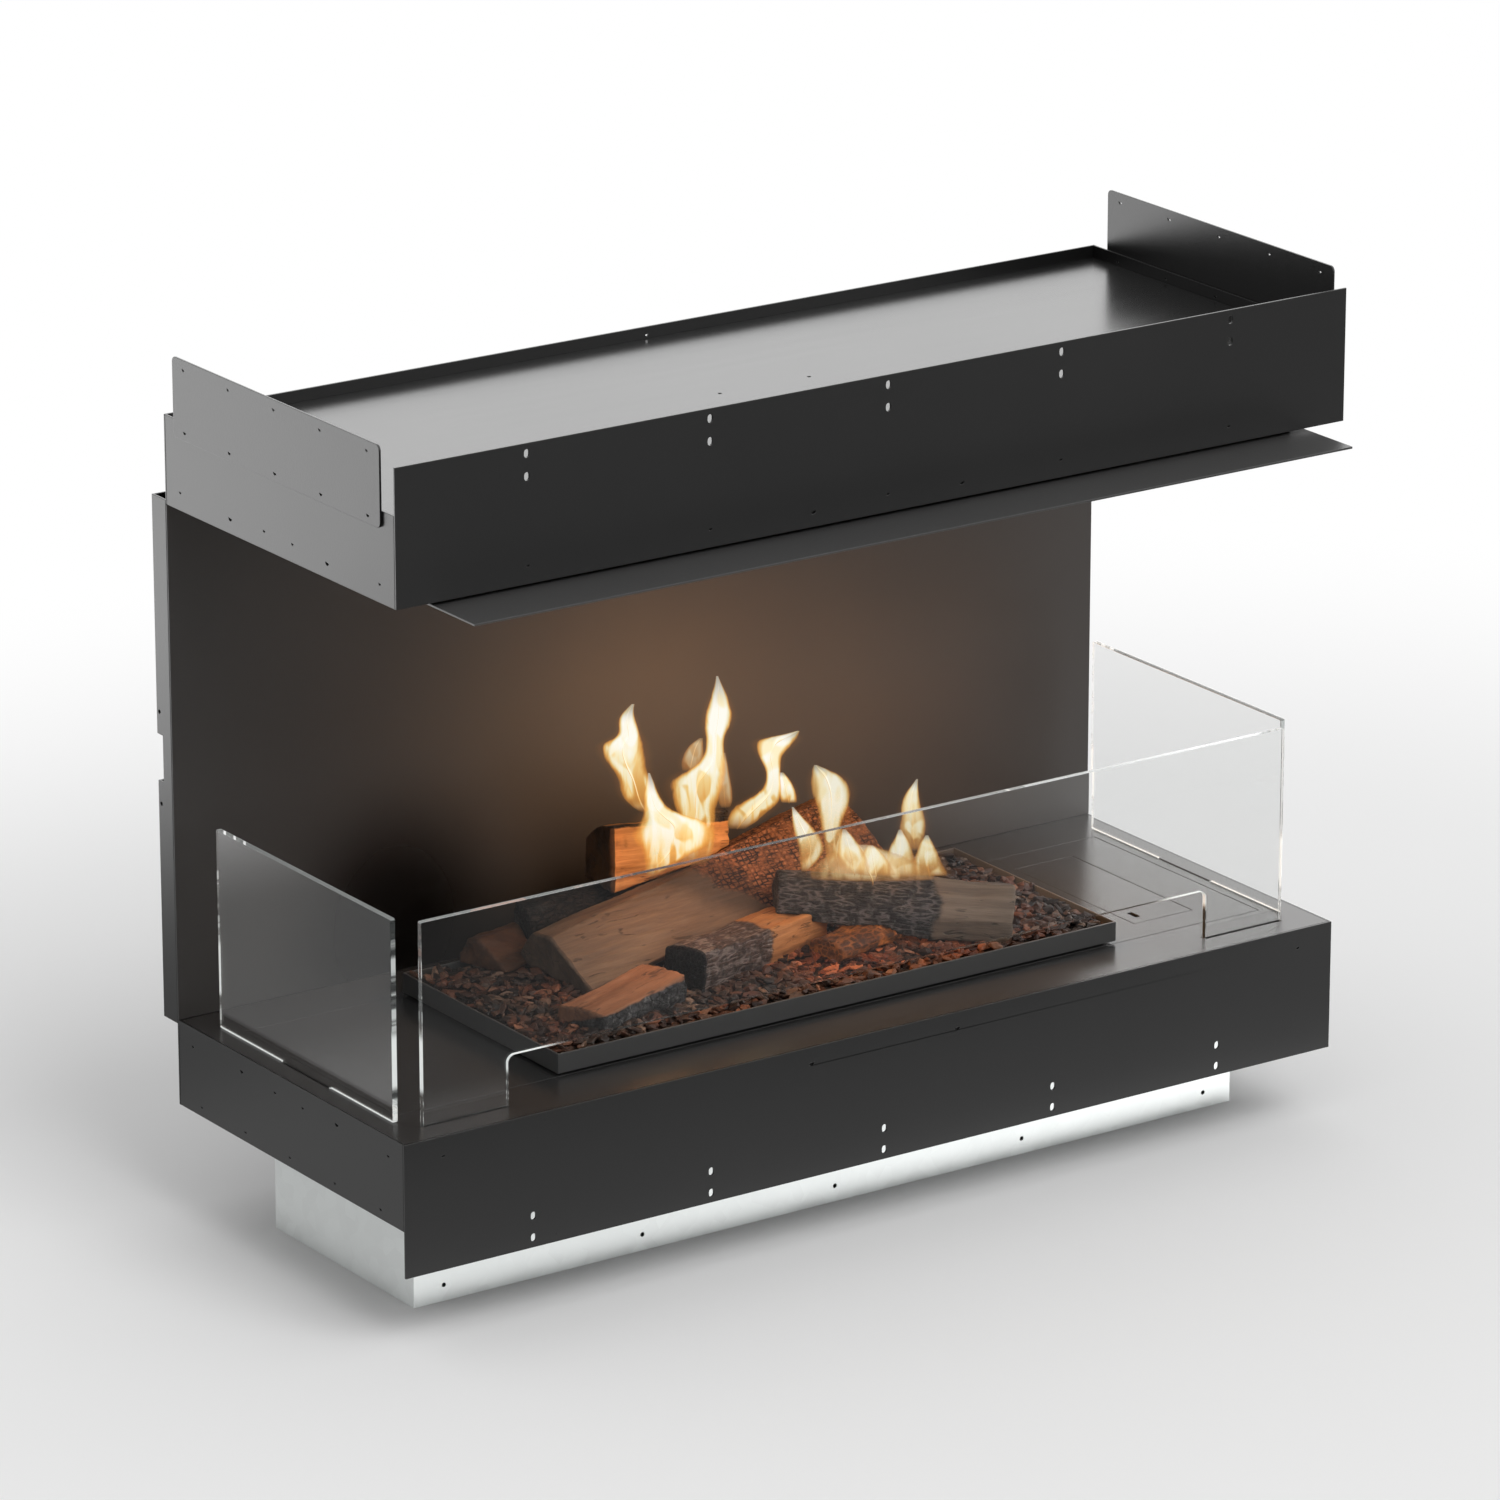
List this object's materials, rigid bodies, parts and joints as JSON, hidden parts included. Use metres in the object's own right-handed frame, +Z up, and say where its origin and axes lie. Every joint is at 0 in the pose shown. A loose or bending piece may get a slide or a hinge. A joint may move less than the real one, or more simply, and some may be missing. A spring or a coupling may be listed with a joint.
{
  "type": "three-sided bioethanol fireplace",
  "caption": "Built-in three-sided bioethanol fireplace: black sheet-steel casing with deck, back wall and hood, loose glass panes, and an automatic burner with ceramic logs and a service hatch.",
  "frame": {"origin": "on the floor under the middle of the casing, on the burner housing's underside", "axes": "+X to the right along the casing, +Y to the back, +Z up"},
  "size_m": [1.0046, 0.4585, 0.8],
  "materials": {
    "black_powder_coat": "satin",
    "galvanised": "satin",
    "stainless": "satin",
    "clear_glass": "polished",
    "ceramic_log": "matte",
    "ceramic_chip": "matte",
    "black_plastic": "matte",
    "soft_black": "matte",
    "brass": "satin",
    "circuit_board": "satin"
  },
  "bodies": {
    "casing": {"back_wall": "black_powder_coat", "burner_housing": "galvanised", "burner_slot_plate": "stainless", "burner_surround": "black_powder_coat", "burner_top_plate": "black_powder_coat", "burner_trough": "stainless", "control_board": "circuit_board", "control_box": "galvanised", "deck_plate": "black_powder_coat", "ember_bed": "ceramic_chip", "evaporator": "stainless", "feed_line": "soft_black", "filler_neck": "stainless", "flame_sensor": "brass", "fuel_pump": "brass", "fuel_tank": "stainless", "glass_holder_front_left": "black_powder_coat", "glass_holder_front_right": "black_powder_coat", "glass_holder_left": "black_powder_coat", "glass_holder_right": "black_powder_coat", "glow_igniter": "stainless", "hood_bottom_panel": "black_powder_coat", "hood_front_fascia": "black_powder_coat", "hood_left_side": "black_powder_coat", "hood_lip": "black_powder_coat", "hood_rear_panel": "black_powder_coat", "hood_right_side": "black_powder_coat", "hood_top_panel": "black_powder_coat", "keypad_panel": "black_plastic", "level_sensor": "black_plastic", "log_dark_rear": "ceramic_log", "log_front_left": "ceramic_log", "log_front_middle": "ceramic_log", "log_low_bark": "ceramic_log", "log_main": "ceramic_log", "log_rear_stump": "ceramic_log", "log_right_front": "ceramic_log", "log_small_left": "ceramic_log", "lower_casing_floor": "black_powder_coat", "lower_front_fascia": "black_powder_coat", "lower_left_side": "black_powder_coat", "lower_rear_panel": "black_powder_coat", "lower_right_side": "black_powder_coat", "mounting_plate_left": "black_powder_coat", "mounting_plate_right": "black_powder_coat", "power_inlet": "black_plastic", "rear_cover": "black_powder_coat", "rear_upright_left": "galvanised", "rear_upright_right": "galvanised", "service_well": "black_powder_coat", "suction_line": "soft_black"},
    "left_glass_pane": {"left_glass": "clear_glass"},
    "right_glass_pane": {"right_glass": "clear_glass"},
    "front_glass_pane": {"front_glass": "clear_glass"},
    "hatch_lid": {"service_hatch": "black_powder_coat"},
    "cap": {"filler_cap": "black_plastic"},
    "power_key": {"button_power": "soft_black"},
    "up_key": {"button_up": "soft_black"},
    "down_key": {"button_down": "soft_black"}
  },
  "joints": [
    {"name": "left_glass_lift", "type": "slide", "parent": "casing", "child": "left_glass_pane", "axis": [0, 0, 1], "range_m": [0, 0.06]},
    {"name": "right_glass_lift", "type": "slide", "parent": "casing", "child": "right_glass_pane", "axis": [0, 0, 1], "range_m": [0, 0.06]},
    {"name": "front_glass_lift", "type": "slide", "parent": "casing", "child": "front_glass_pane", "axis": [0, 0, 1], "range_m": [0, 0.06]},
    {"name": "hatch_lift", "type": "slide", "parent": "casing", "child": "hatch_lid", "axis": [0, 0, 1], "range_m": [0, 0.06]},
    {"name": "filler_cap_turn", "type": "hinge", "parent": "casing", "child": "cap", "pos_m": [0.381, -0.0645, 0.165], "axis": [0, 0, 1], "range_deg": [0, 90]},
    {"name": "power_press", "type": "slide", "parent": "casing", "child": "power_key", "axis": [0, 0, 1], "range_m": [-0.0015, 0], "stiffness_N_per_m": 300},
    {"name": "up_press", "type": "slide", "parent": "casing", "child": "up_key", "axis": [0, 0, 1], "range_m": [-0.0015, 0], "stiffness_N_per_m": 300},
    {"name": "down_press", "type": "slide", "parent": "casing", "child": "down_key", "axis": [0, 0, 1], "range_m": [-0.0015, 0], "stiffness_N_per_m": 300}
  ]
}
